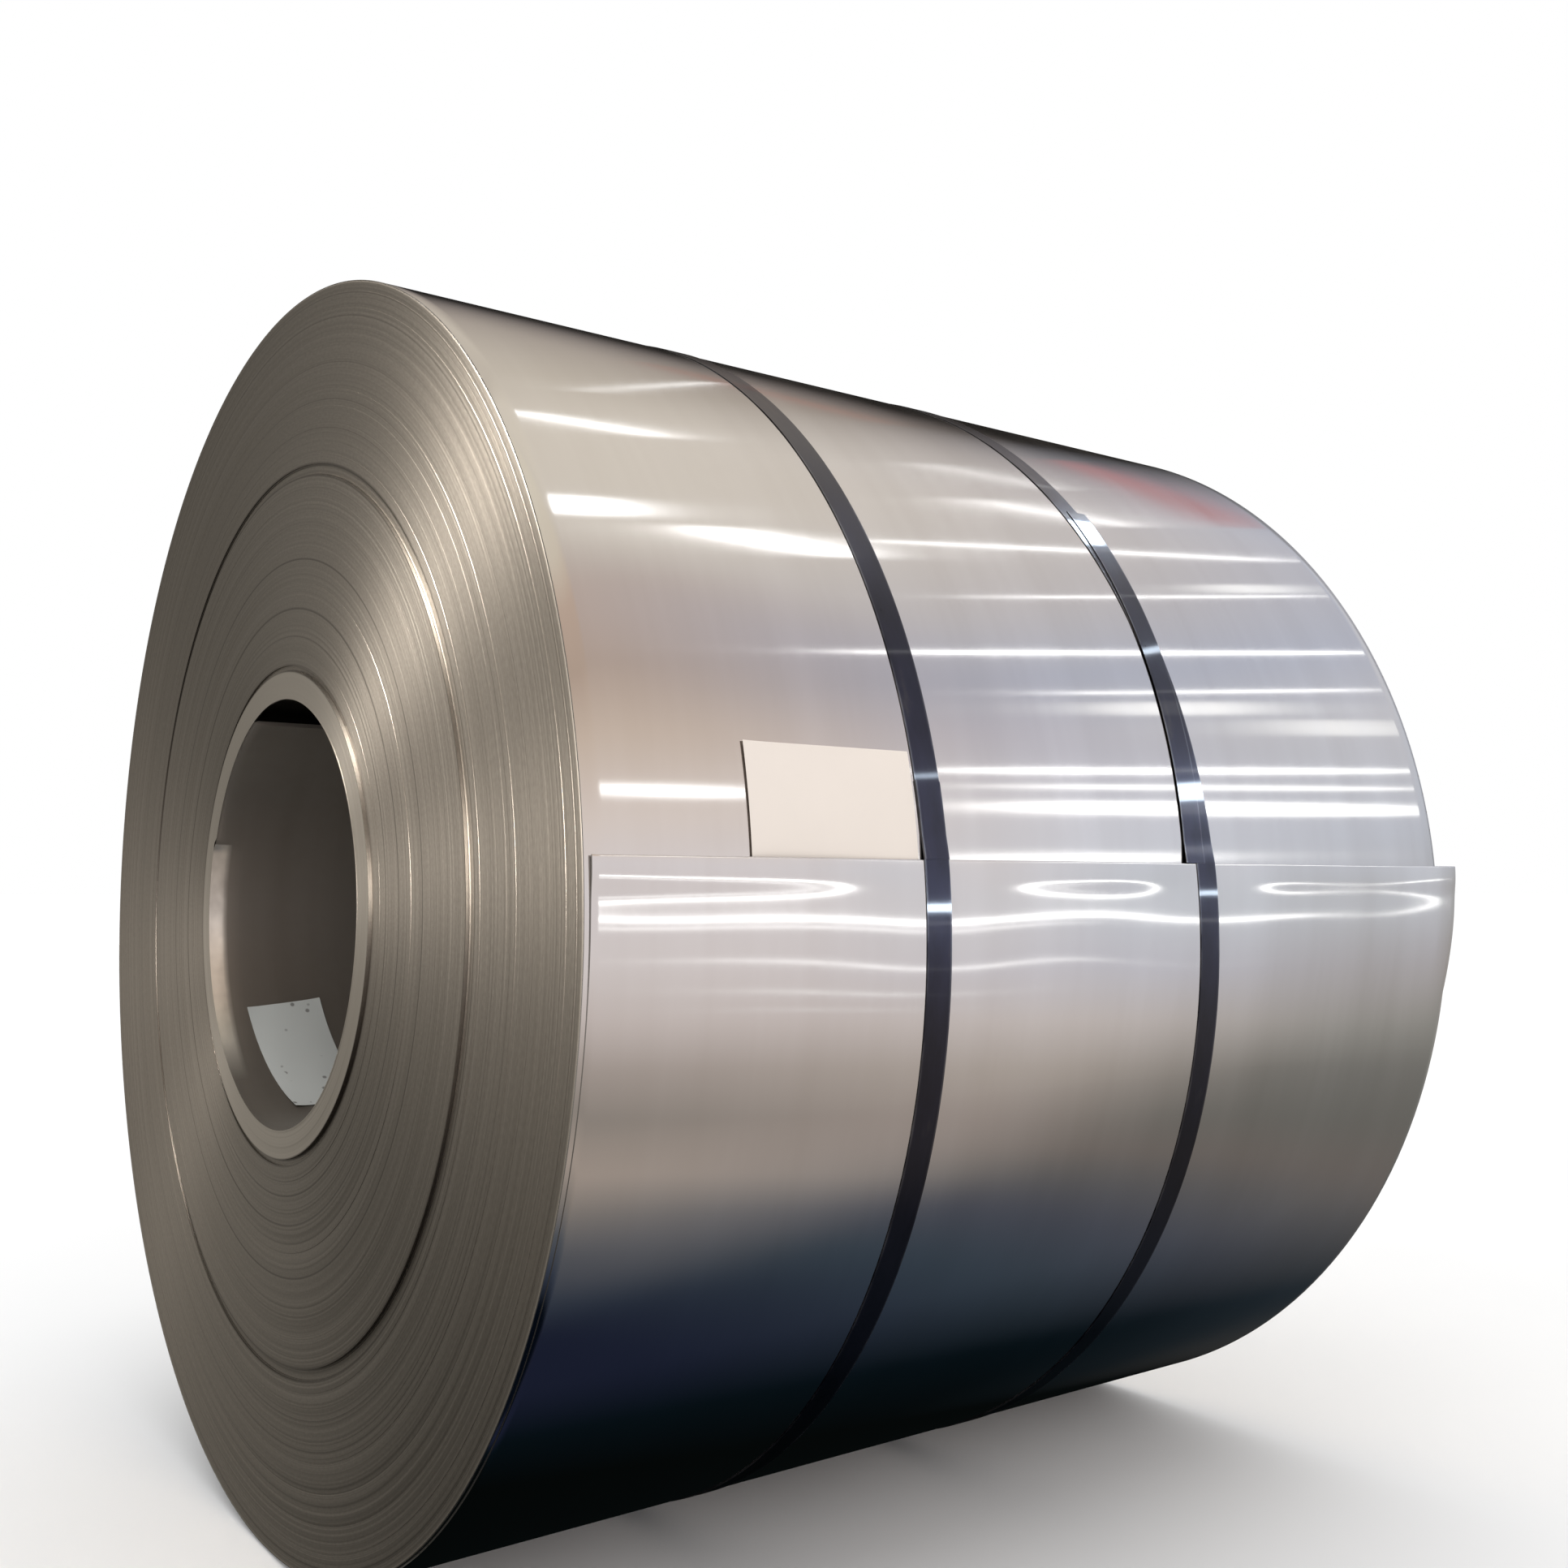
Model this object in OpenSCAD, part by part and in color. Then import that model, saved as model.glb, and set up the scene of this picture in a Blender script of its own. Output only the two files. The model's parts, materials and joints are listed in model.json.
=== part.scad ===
// Slit coil of bright stainless strip, lying on its side, axis along Y.
// The origin is on the bore's axis, halfway along the strip's width.
// +Z is up, -Y is the end with the paper tag in its bore.

/* [Coil] */
// Outer radius of the wound turns, under the loose outer wrap
coil_r = 735; // [560:5:960]
// Radius of the bore
bore_r = 254; // [203:1:305]
// Width of the strip, which is the length of the coil
strip_w = 1250; // [1060:10:1600]
// Thickness of the strip
strip_t = 2; // [1:0.1:4]

/* [Coil ends] */
// Radial width of the tight innermost turns
core_band = 33; // [15:1:60]
// How far the innermost turns have slipped out of the -Y end
core_slip = 4; // [1:0.5:10]
// Radial width of the turns that have slipped in, next to the innermost ones
sunk_band = 7; // [4:1:20]
// How far those turns have slipped in
sunk_slip = 3; // [1:0.5:8]
// Radius at which the winding was stopped and started again
restart_r = 517; // [400:1:520]
// Radial width of the turns that slipped in there
restart_band = 13; // [5:1:25]
// How far those turns have slipped in
restart_slip = 4; // [1:0.5:8]
// How far the inner winding stands out past the outer one
inner_slip = 2; // [0.5:0.5:6]

/* [Loose outer wrap] */
// Angle of the strip's cut end above the level of the axis, on the +X side
tail_angle = 4.4; // [-20:0.2:20]
// How far the wrap has run out of the +Y end on the +X side
tail_drift = 12; // [2:1:30]
// How much further its loose corner stands out
corner_drift = 18; // [2:1:40]
// Height of the part of the wrap that the loose corner takes up
corner_h = 150; // [60:5:250]
// How far the wrap is drawn in at the -Y end
tail_sunk = 5; // [1:0.5:15]

/* [Straps] */
// Width of a strap
strap_w = 32; // [19:1:40]
// Thickness of a strap
strap_t = 1; // [0.6:0.1:1.5]
// Place of the first strap along Y, at the level of the axis
near_strap_y = -238; // [-260:2:-100]
// Lean of the first strap away from square, in degrees
near_strap_lean = 1.2; // [-3:0.1:3]
// Length of the first strap's overlapped ends, in degrees
near_overlap = 6; // [4:1:40]
// Place of the second strap along Y, at the level of the axis
far_strap_y = 165; // [100:2:400]
// Lean of the second strap away from square, in degrees
far_strap_lean = 2.3; // [-3:0.1:3]
// Length of the second strap's overlapped ends, in degrees
far_overlap = 37; // [4:1:40]
// How far its top end has slipped sideways at the cut end of the strip
far_end_slip = -22; // [-26:1:26]
// Lean of that top end, in degrees
far_end_lean = -1.7; // [-3:0.1:3]
// Length of the stretch where a strap climbs over the strip's cut end
climb_l = 24; // [15:1:60]

/* [Paper labels] */
// Thickness of the paper
paper_t = 0.4; // [0.2:0.1:1]
// Length along Y of the blank label on the outside
outer_label_l = 196; // [100:2:230]
// Height of the blank label, along the strip
outer_label_h = 106; // [60:2:200]
// Gap between that label and the first strap
outer_label_gap = 3; // [1:0.5:10]
// Length along Y of the tag in the bore
bore_label_l = 98; // [60:2:200]
// Height of the tag in the bore, along the wall
bore_label_h = 186; // [80:2:220]
// Distance of the tag from the mouth of the bore
bore_label_inset = 48; // [5:1:200]
// Angle of the tag's middle in the bore, from +X towards +Z
bore_label_angle = -130; // [-160:1:-100]

/* [Hidden] */
$fn = 180;
// The loose last wrap is half a circle that meets the coil's at the back, and at its
// cut end stands one strip further out
tail_r = coil_r + strip_t / 2;
tail_off = strip_t / 2;
// A square this large holds the whole coil
whole = 4 * coil_r;
// Half of a length along Y that runs past both ends
past_end = 0.75 * strip_w;
// Degrees that one millimetre takes up on the outside of the coil
deg_per_mm = 180 / (PI * coil_r);
// Runs of turns from the bore outwards: [inner radius, outer radius, slip towards -Y].
// The last one runs on past the outside of the coil
BANDS = [
    [bore_r, bore_r + core_band, core_slip],
    [bore_r + core_band, bore_r + core_band + sunk_band, -sunk_slip],
    [bore_r + core_band + sunk_band, restart_r, inner_slip],
    [restart_r, restart_r + restart_band, -restart_slip],
    [restart_r + restart_band, whole, 0]
];

// Draws a plan in X and Z, and gives it the length from y0 to y1
module along_y(y0, y1) {
    translate([0, y1, 0]) rotate([90, 0, 0]) linear_extrude(y1 - y0) children();
}

// The half of the plan above or below the strip's cut end
module half(side) {
    intersection() {
        children();
        translate([0, side * whole / 2]) square(whole, center = true);
    }
}

// The plan of the coil with its cut end at angle 0, grown by a height
module coil_plan(height) {
    half(1) circle(coil_r + height);
    half(-1) translate([tail_off, 0]) circle(tail_r + height);
}

// The same plan with the slope on which a strap climbs over the cut end. The slope
// runs on into the coil for as long again, so that it crosses the surface cleanly
module climb_plan(height) {
    slope_end = 2 * climb_l * deg_per_mm;
    foot_r = coil_r - 2 * strip_t;
    top_r = coil_r + height;
    coil_plan(height);
    polygon([
        [foot_r, 0],
        [top_r + strip_t, 0],
        (top_r - strip_t) * [cos(slope_end), sin(slope_end)],
        foot_r * [cos(slope_end), sin(slope_end)]
    ]);
}

// The plan of a sector between two angles
module sector(from, to) {
    reach = 2 * coil_r;
    polygon([
        [0, 0],
        for (k = [0:4]) let(a = from + (to - from) * k / 4) reach * [cos(a), sin(a)]
    ]);
}

// One layer of strap, as wide as the strap, in a plane that leans away from square
module strap_layer(y, lean, layer) {
    intersection() {
        along_y(y - 3 * strap_w, y + 3 * strap_w) rotate(tail_angle) intersection() {
            difference() {
                climb_plan(layer * strap_t);
                climb_plan((layer - 1) * strap_t);
            }
            children();
        }
        translate([0, y, 0]) rotate([lean, 0, 0]) cube([whole, strap_w, whole], center = true);
    }
}

// What lies beyond the runs of turns at the +Y end (side 1) or the -Y end (side -1)
module beyond_end(side) {
    inside = bore_r / 2;
    edges = [for (b = BANDS) each [
        [b == BANDS[0] ? inside : b[0], side * strip_w / 2 - b[2]],
        [b[1], side * strip_w / 2 - b[2]]
    ]];
    rotate([-90, 0, 0]) rotate_extrude() polygon([
        [inside, side * (past_end + strip_t)],
        each edges,
        [whole, side * (past_end + strip_t)]
    ]);
}

// Below the cut end the coil is one strip smaller, under the wrap
module coil() {
    color("silver") difference() {
        along_y(-past_end, past_end) rotate(tail_angle) difference() {
            union() {
                half(1) circle(coil_r);
                half(-1) translate([tail_off, 0]) circle(tail_r - strip_t);
            }
            circle(bore_r);
        }
        beyond_end(-1);
        beyond_end(1);
    }
}

// The loose last half turn, from the cut end down and round to the back. On the +X side
// it has run out of the +Y end and is drawn in at the -Y end
module outer_wrap() {
    edge_y = strip_w / 2;
    edge_x = coil_r + 2 * strip_t;
    corner_x = sqrt(pow(coil_r, 2) - pow(corner_h, 2));
    color("silver") rotate([0, -tail_angle, 0]) intersection() {
        along_y(-past_end, past_end) half(-1) translate([tail_off, 0]) difference() {
            circle(tail_r);
            circle(tail_r - strip_t);
        }
        linear_extrude(whole, center = true) polygon([
            [-edge_x, -edge_y],
            [edge_x, -edge_y + tail_sunk],
            [edge_x, edge_y + tail_drift + corner_drift],
            [corner_x, edge_y + tail_drift],
            [-edge_x, edge_y]
        ]);
    }
}

module strap_near() {
    color("midnightblue") {
        strap_layer(near_strap_y, near_strap_lean, 1) circle(whole);
        strap_layer(near_strap_y, near_strap_lean, 2) sector(0, near_overlap);
    }
}

module strap_far() {
    color("midnightblue") {
        strap_layer(far_strap_y, far_strap_lean, 1) circle(whole);
        strap_layer(far_strap_y + far_end_slip, far_end_lean, 2) sector(0, far_overlap);
    }
}

// The blank label stands on the cut end. Its edge stays clear of the leaning strap
module outer_label() {
    top_z = coil_r * sin(tail_angle + outer_label_h * deg_per_mm);
    strap_edge_y = near_strap_y - strap_w / 2 - abs(top_z * tan(near_strap_lean));
    edge_y = strap_edge_y - outer_label_gap;
    color("linen") along_y(edge_y - outer_label_l, edge_y) rotate(tail_angle) intersection() {
        difference() {
            circle(coil_r + paper_t);
            circle(coil_r);
        }
        sector(0, outer_label_h * deg_per_mm);
    }
}

module bore_label() {
    half_angle = bore_label_h / 2 * 180 / (PI * bore_r);
    mouth_y = -strip_w / 2 - core_slip;
    color("gainsboro") along_y(mouth_y + bore_label_inset, mouth_y + bore_label_inset + bore_label_l)
        intersection() {
            difference() {
                circle(bore_r);
                circle(bore_r - paper_t);
            }
            rotate(bore_label_angle) sector(-half_angle, half_angle);
        }
}

coil();
outer_wrap();
strap_near();
strap_far();
outer_label();
bore_label();
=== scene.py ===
"""Looks for the steel coil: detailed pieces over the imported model, materials, stage, lights, camera.

Everything is in metres in the row frame: Y runs along the bore, Z is up, and the strip's cut end is on
the +X side. Angles go round the bore's axis from +X towards +Z.
"""
import json
import math

import bpy
import numpy as np
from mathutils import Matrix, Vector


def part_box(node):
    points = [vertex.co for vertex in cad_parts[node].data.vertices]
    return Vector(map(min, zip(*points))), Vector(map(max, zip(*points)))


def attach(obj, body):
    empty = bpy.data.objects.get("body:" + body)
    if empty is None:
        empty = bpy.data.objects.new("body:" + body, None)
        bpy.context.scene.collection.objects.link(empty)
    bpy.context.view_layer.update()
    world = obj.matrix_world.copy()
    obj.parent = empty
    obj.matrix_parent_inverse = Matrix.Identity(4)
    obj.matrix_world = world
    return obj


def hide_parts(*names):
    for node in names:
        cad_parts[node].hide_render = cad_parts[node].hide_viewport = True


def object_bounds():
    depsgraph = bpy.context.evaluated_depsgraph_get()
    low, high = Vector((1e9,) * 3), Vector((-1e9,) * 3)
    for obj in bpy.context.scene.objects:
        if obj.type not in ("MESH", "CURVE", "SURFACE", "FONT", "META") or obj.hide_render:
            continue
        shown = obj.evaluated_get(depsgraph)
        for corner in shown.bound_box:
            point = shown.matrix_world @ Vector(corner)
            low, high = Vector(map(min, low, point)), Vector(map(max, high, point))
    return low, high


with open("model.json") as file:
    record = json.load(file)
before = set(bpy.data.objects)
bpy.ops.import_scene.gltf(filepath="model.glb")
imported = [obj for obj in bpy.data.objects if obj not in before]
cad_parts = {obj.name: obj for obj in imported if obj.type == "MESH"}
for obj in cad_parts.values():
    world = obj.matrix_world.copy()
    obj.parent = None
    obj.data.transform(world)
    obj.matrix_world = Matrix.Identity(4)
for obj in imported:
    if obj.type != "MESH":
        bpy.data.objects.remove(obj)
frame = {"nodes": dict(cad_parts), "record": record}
cad_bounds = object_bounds()

MM = 0.001
MOUNTS = {m["name"]: m for m in frame["record"]["mounts"]}

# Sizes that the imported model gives
COIL_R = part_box("coil")[1].z
BORE_R = MOUNTS["bore"]["dims"]["r_mm"] * MM
HALF_W = MOUNTS["bore"]["dims"]["length_mm"] * MM / 2
FLOOR_Z = cad_bounds[0][2]

# Sizes of the strip and of its cut end
STRIP_T = 2 * MM
TAIL = math.radians(4.4)
# The wrap lies on a circle of its own, whose centre is this far off the axis
WRAP_OFF = STRIP_T / 2
WRAP_R = COIL_R + WRAP_OFF

# How far out from the bore the tight core reaches, and the turns beside it
CORE_REACH = 33 * MM
BESIDE_REACH = 40 * MM
# The turns where the winding was started again
RESTART_IN = 517 * MM
RESTART_OUT = 530 * MM
RESTART_SLIP = -2 * MM

# Runs of turns: inner radius, outer radius, slip towards -Y
BANDS = [
    (BORE_R, BORE_R + CORE_REACH, 4 * MM),
    (BORE_R + CORE_REACH, BORE_R + BESIDE_REACH, 0.0),
    (BORE_R + BESIDE_REACH, RESTART_IN, 2 * MM),
    (RESTART_IN, RESTART_OUT, RESTART_SLIP),
    (RESTART_OUT, COIL_R, 0.0),
]
CORE_SLIP = BANDS[0][2]


# ---------------------------------------------------------------- mesh helpers

def add_grid(name, points, flat, closed=False, flip=False, sharp=35):
    """A mesh from points[i, j] with its flat coordinates flat[i, j] as the UV map "arc".

    closed joins the last column to the first, and flat then has one column more than points.
    """
    across, along = points.shape[:2]
    rows = np.arange(along - 1)
    columns = np.arange(across if closed else across - 1)
    i, j = np.meshgrid(columns, rows, indexing="ij")
    i, j = i.ravel(), j.ravel()
    i_next = (i + 1) % across
    quads = np.stack([i * along + j, i_next * along + j, i_next * along + j + 1, i * along + j + 1], 1)
    corners = np.stack([flat[i, j], flat[i + 1, j], flat[i + 1, j + 1], flat[i, j + 1]], 1)
    if flip:
        quads, corners = quads[:, ::-1], corners[:, ::-1]
    faces = [tuple(int(v) for v in q) for q in quads]
    mesh = bpy.data.meshes.new(name)
    mesh.from_pydata(points.reshape(-1, 3).tolist(), [], faces)
    uv = mesh.uv_layers.new(name="arc")
    uv.data.foreach_set("uv", corners.reshape(-1).astype(np.float32))
    return finish_mesh(name, mesh, sharp)


def add_loft(name, loops, along, sharp=35, flip=False, girth=None):
    """A closed solid: loops[k] is a ring of points, and along[k] its place along the piece.

    girth is the other flat coordinate of each point of a ring, and the distance round it if not given.
    """
    count, size = loops.shape[:2]
    if girth is None:
        girth = np.linalg.norm(np.diff(np.concatenate([loops[0], loops[0][:1]]), axis=0), axis=1)
        girth = np.concatenate([[0.0], np.cumsum(girth)])
    faces = []
    uvs = []
    for k in range(count - 1):
        for m in range(size):
            n = (m + 1) % size
            quad = [k * size + m, k * size + n, (k + 1) * size + n, (k + 1) * size + m]
            corner = [(along[k], girth[m]), (along[k], girth[m + 1]),
                      (along[k + 1], girth[m + 1]), (along[k + 1], girth[m])]
            faces.append(quad[::-1] if flip else quad)
            uvs.extend(corner[::-1] if flip else corner)
    for k, turn in ((0, not flip), (count - 1, flip)):
        cap = [k * size + m for m in range(size)]
        corner = [(along[k], girth[m]) for m in range(size)]
        faces.append(cap[::-1] if turn else cap)
        uvs.extend(corner[::-1] if turn else corner)
    mesh = bpy.data.meshes.new(name)
    mesh.from_pydata(loops.reshape(-1, 3).tolist(), [], faces)
    uv = mesh.uv_layers.new(name="arc")
    uv.data.foreach_set("uv", np.array(uvs, np.float32).reshape(-1))
    return finish_mesh(name, mesh, sharp)


def finish_mesh(name, mesh, sharp):
    mesh.update()
    mesh.shade_smooth()
    mesh.set_sharp_from_angle(angle=math.radians(sharp))
    piece = bpy.data.objects.new(name, mesh)
    bpy.context.scene.collection.objects.link(piece)
    return piece


def around(angle, radius, y):
    """Points at an angle and a radius round the bore's axis. All three may be arrays."""
    angle, radius, y = np.broadcast_arrays(angle, radius, y)
    return np.stack([radius * np.cos(angle), y, radius * np.sin(angle)], -1)


def smooth_noise(t, seed, waves, rough=0.6):
    """A repeatable wavy function of t, which goes once round as t goes from 0 to 2 pi."""
    rng = np.random.default_rng(seed)
    total = np.zeros_like(t, dtype=float)
    size = 1.0
    for wave in waves:
        total += size * np.sin(wave * t + rng.uniform(0, 2 * math.pi))
        size *= rough
    return total


def below_tail(angle):
    """True where an angle lies on the half turn below the strip's cut end."""
    return np.sin(np.asarray(angle) - TAIL) < -1e-9


def off_centre_radius(angle, radius):
    """Radius at an angle of the wrap's circle, whose centre lies off the axis towards the cut end."""
    turn = np.asarray(angle) - TAIL
    return WRAP_OFF * np.cos(turn) + np.sqrt(radius ** 2 - (WRAP_OFF * np.sin(turn)) ** 2)


def body_radius(angle):
    """Radius of the wound coil at an angle: below the cut end it is one strip smaller at the back."""
    return np.where(below_tail(angle), off_centre_radius(angle, WRAP_R - STRIP_T), COIL_R)


# ---------------------------------------------------------------- the wound coil

# Half of the gap between two turns
GAP = 0.1 * MM
# Each turn drifts a little from the last one, and now and then jumps by one of these
DRIFT_KEPT = 0.55
DRIFT_SPREAD = 0.03 * MM
JUMP_CHANCE = 0.05
JUMPS = [-0.24 * MM, 0.14 * MM]
# Between these radii the turns wave in and out three times
WAVED_IN, WAVED_OUT = 638 * MM, 688 * MM
WAVED_DEPTH = 0.35 * MM
# Radius to which the outermost edges are rounded
EDGE_ROUND = 0.8 * MM


def turn_profile(side, seed):
    """Radius and place along Y of both edges of each turn on an end of the coil."""
    rng = np.random.default_rng(seed)
    radii = []
    places = []
    drift = 0.0
    for low, high, slip in BANDS:
        turns = max(2, round((high - low) / STRIP_T))
        edges = np.linspace(low, high, turns + 1)
        for k in range(turns):
            drift = DRIFT_KEPT * drift + rng.normal(0, DRIFT_SPREAD)
            if rng.random() < JUMP_CHANCE:
                drift += rng.choice(JUMPS)
            share = (k + 0.5) / turns
            eased = slip * min(1.0, 6 * min(share, 1 - share)) if slip == RESTART_SLIP else slip
            place = side * (HALF_W + drift) - eased
            radii += [edges[k] + GAP, edges[k + 1] - GAP]
            places += [place, place]
    radii, places = np.array(radii), np.array(places)
    waved = (radii > WAVED_IN) & (radii < WAVED_OUT)
    phase = (radii[waved] - WAVED_IN) / (WAVED_OUT - WAVED_IN) * 6 * math.pi
    places[waved] -= side * WAVED_DEPTH * (1 - np.cos(phase))
    radii[0], radii[-1] = BORE_R, COIL_R
    return radii, places


# On the -X side the core's first turns are belled out at the -Y mouth, from this angle on
BELL_START = math.radians(160)
BELL_REACH = math.radians(76)
BELL_FADE = math.radians(30)
BELL_DEPTH = 5.5 * MM
BELL_LENGTH = 20 * MM


def belled(angle):
    """How far the mouth is belled out at an angle: all at once at its start, then less and less."""
    past = np.mod(np.asarray(angle) - BELL_START, 2 * math.pi)
    return BELL_DEPTH * np.clip((BELL_REACH - past) / BELL_FADE, 0, 1)


# Steps round each end
END_STEPS = 192


def coil_end(name, side, seed):
    """The face of turns at one end of the coil, one narrow ring for each turn."""
    radii, places = turn_profile(side, seed)
    angle = np.linspace(0, 2 * math.pi, END_STEPS, endpoint=False) + TAIL
    outer = body_radius(angle)
    share = np.clip((radii - RESTART_OUT) / (COIL_R - RESTART_OUT), 0, 1)
    radius = radii[None, :] + (outer[:, None] - COIL_R) * share[None, :]
    if side < 0:
        radius = radius + belled(angle)[:, None] * np.clip(1 - (radii - BORE_R) / CORE_REACH, 0, 1)[None, :]
    sway = smooth_noise(angle, seed + 5, (1, 2, 3, 5))[:, None] * 0.12 * MM
    lean = smooth_noise(angle, seed + 9, (2, 4, 7))[:, None] * np.sin(radii * 90)[None, :] * 0.03 * MM
    y = places[None, :] + sway * np.clip((radii - BORE_R) / (50 * MM), 0, 1)[None, :] + lean
    y[:, 0] = places[0]
    y[:, -1] = side * (HALF_W - EDGE_ROUND)
    points = around(angle[:, None], radius, y)
    turned = np.append(angle, angle[0] + 2 * math.pi)
    flat = np.stack(np.broadcast_arrays(turned[:, None], radii[None, :]), -1)
    return add_grid(name, points, flat, closed=True, flip=side < 0, sharp=20)


def coil_mantle():
    """The outside of the wound coil, which the wrap covers on its lower half."""
    upper = np.linspace(TAIL, TAIL + math.pi, 181)
    lower = np.linspace(TAIL + math.pi + 1e-6, TAIL + 2 * math.pi - 1e-6, 120)
    angle = np.concatenate([upper, lower])
    radius = body_radius(angle)
    radius[0] = radius[len(upper) - 1] = COIL_R
    # Points on the rounded edge, by their distance from the coil's end and below its outside
    edge = np.array([0.1 * MM, 0.35 * MM, 0.65 * MM, EDGE_ROUND])
    drop = np.array([EDGE_ROUND, 0.35 * MM, 0.1 * MM, 0.0])
    middle = np.linspace(-HALF_W + 20 * MM, HALF_W - 20 * MM, 40)
    y = np.concatenate([-HALF_W + edge, middle, (HALF_W - edge)[::-1]])
    drop = np.concatenate([drop, np.zeros(len(middle)), drop[::-1]])
    points = around(angle[:, None], radius[:, None] - drop[None, :], y[None, :])
    turned = np.append(angle, angle[0] + 2 * math.pi)
    flat = np.stack(np.broadcast_arrays(turned[:, None] * COIL_R, y[None, :]), -1)
    return add_grid("coil_outside", points, flat, closed=True, flip=True, sharp=50)


# The strip's inner end lies at this angle in the bore, with a gap this deep past it
INNER_END = math.radians(112)
INNER_GAP = 11 * MM
# How far the strip stands into the bore before its inner end
INNER_LIFT = 2.4 * MM


def bore_wall():
    """The wall of the bore. Past the strip's inner end lies a gap, which closes again further round."""
    fine = np.radians([0, 0.05, 0.1, 0.25, 0.5, 1, 2, 4])
    coarse = np.linspace(math.radians(6), 2 * math.pi - math.radians(1), 190)
    angle = INNER_END - np.concatenate([fine, coarse, [2 * math.pi - math.radians(0.3)]])
    past = INNER_END - angle
    low, high = -HALF_W - CORE_SLIP, HALF_W - CORE_SLIP
    y = np.concatenate([low + np.array([0.0, 0.6, 2.0, 3.0, 5.0, 12.0]) * MM,
                        np.linspace(low + BELL_LENGTH, high - 14 * MM, 60),
                        high - np.array([5.0, 3.0, 2.0, 0.6, 0.0]) * MM])
    gap = INNER_GAP * np.exp(-(past / math.radians(17)) ** 3) * np.clip(past / math.radians(0.2), 0, 1)
    before = 2 * math.pi - past
    lifted = -INNER_LIFT * np.exp(-(before / math.radians(16)) ** 2)
    step = STRIP_T * np.clip(1 - past / math.radians(330), 0, 1) - 0.6 * MM
    dents = smooth_noise(angle, 31, (2, 3, 5, 8)) * 0.25 * MM
    radius = (BORE_R + gap + lifted + step + dents)[:, None] * np.ones_like(y)[None, :]
    mouth = (np.clip(1 - (y - low - 2 * MM) / (3 * MM), 0, 1)
             + np.clip(1 - (high - 2 * MM - y) / (3 * MM), 0, 1))
    radius = radius * (1 - mouth) + (BORE_R + np.minimum(lifted, 0) * 0.3)[:, None] * mouth
    radius = radius + belled(angle)[:, None] * np.clip(1 - (y - low) / BELL_LENGTH, 0, 1)[None, :]
    points = around(angle[:, None], radius, y[None, :])
    turned = np.append(angle, angle[0] - 2 * math.pi)
    flat = np.stack(np.broadcast_arrays(-turned[:, None] * BORE_R, y[None, :]), -1)
    return add_grid("coil_bore", points, flat, closed=True, flip=True, sharp=40)


# ---------------------------------------------------------------- the loose outer wrap

STRAPS = {
    "strap_near": {"y": -238 * MM, "lean": math.radians(1.2), "end_y": -238 * MM,
                   "end_lean": math.radians(1.2), "end_angle": math.radians(6)},
    "strap_far": {"y": 165 * MM, "lean": math.radians(2.3), "end_y": 143 * MM,
                  "end_lean": math.radians(-1.7), "end_angle": math.radians(37)},
}
STRAP_W = 32 * MM
STRAP_T = 1 * MM
# A strap climbs over the strip's cut end in this angle
CLIMB = 24 * MM / COIL_R
# Room left under and over a strap, so that it shares no surface with what it lies on
STRAP_ROOM = 0.02 * MM


def held_down(y, reach):
    """1 away from both straps and 0 under them, where the wrap can't lift."""
    free = np.ones_like(y)
    for strap in STRAPS.values():
        free = free * (1 - np.exp(-((y - strap["y"]) / reach) ** 2))
    return free


def step_down(down, middle, width):
    """1 at the cut end, falling to 0 round a distance from it."""
    return 0.5 * (1 - np.tanh((down - middle) / width))


def wrap_lift(down, y):
    """How far the wrap stands off the coil, at a distance down from its cut end.

    It lifts in a lip at the cut end and a slack hump below it, with fine ripples, and more at both corners.
    """
    lip = 2.1 * MM * held_down(y, 85 * MM) * (1 + 0.16 * np.sin(9 * y + 0.6))
    slack = 1.5 * MM * held_down(y, 130 * MM) * (1 + 0.2 * np.sin(6 * y + 2.0))
    wave = np.sin(down / (17 * MM) + 5 * y + 0.8 * np.sin(11 * y))
    ripple = 0.07 * MM * wave * np.exp(-down / (110 * MM)) * held_down(y, 60 * MM)
    corner = 6 * MM * np.clip((y - 0.46) / (HALF_W - 0.46), 0, 1) ** 2 * np.exp(-down / (170 * MM))
    near = 0.8 * MM * np.clip((-y - 0.5) / (HALF_W - 0.5), 0, 1) ** 2 * np.exp(-down / (120 * MM))
    return (lip * step_down(down, 25 * MM, 12 * MM) + slack * step_down(down, 92 * MM, 40 * MM)
            + ripple + corner + near)


# How far the wrap is drawn in at the -Y end, and has run out of the +Y end down to its loose corner
TAIL_SUNK = 5 * MM
TAIL_DRIFT = 12 * MM
CORNER_DRIFT = 30 * MM
CORNER_H = 150 * MM


def wrap_edges(turn):
    """Places along Y of the wrap's two edges, at an angle below the cut end."""
    x = np.cos(turn) * WRAP_R + WRAP_OFF
    x_edge = COIL_R + 2 * STRIP_T
    near = np.interp(x, [-x_edge, x_edge], [-HALF_W, -HALF_W + TAIL_SUNK])
    corner_x = math.sqrt(COIL_R ** 2 - CORNER_H ** 2)
    far = np.interp(x, [-x_edge, corner_x, x_edge], [HALF_W, HALF_W + TAIL_DRIFT, HALF_W + CORNER_DRIFT])
    return near, far


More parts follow.
